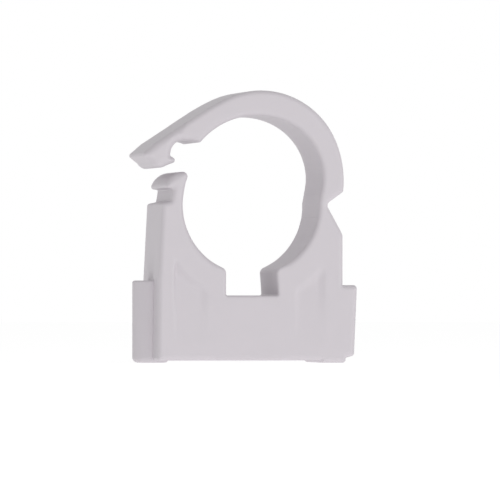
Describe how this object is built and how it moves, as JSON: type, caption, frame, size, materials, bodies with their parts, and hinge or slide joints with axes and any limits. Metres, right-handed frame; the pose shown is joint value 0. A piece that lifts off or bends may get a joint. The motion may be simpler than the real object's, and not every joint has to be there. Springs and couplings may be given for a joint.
{
  "type": "hinged pipe clip",
  "caption": "Plastic pipe clip with a hinged closing arm that snaps under a catch, a screw slot below the seat, and a side rib and groove for joining clips in a row.",
  "frame": {"origin": "on the wall face, under the middle of the pipe, on the screw hole's axis", "axes": "+X across the pipe towards the hinge, +Y along the pipe, +Z away from the wall"},
  "size_m": [0.0359, 0.016, 0.0444],
  "materials": {
    "polypropylene": "moulded white polypropylene with a fine spark-eroded texture and a faint lilac tint"
  },
  "bodies": {
    "base": {"clip_base": "polypropylene", "hinge_web": "polypropylene"},
    "arm": {"closing_arm": "polypropylene"}
  },
  "joints": [
    {"name": "arm_hinge", "type": "hinge", "parent": "base", "child": "arm", "pos_m": [0.012, 0, 0.02565], "axis": [0, 1, 0], "range_deg": [-11.75, 60], "stiffness_Nm_per_rad": 0.03, "deforming": ["hinge_web"]}
  ]
}
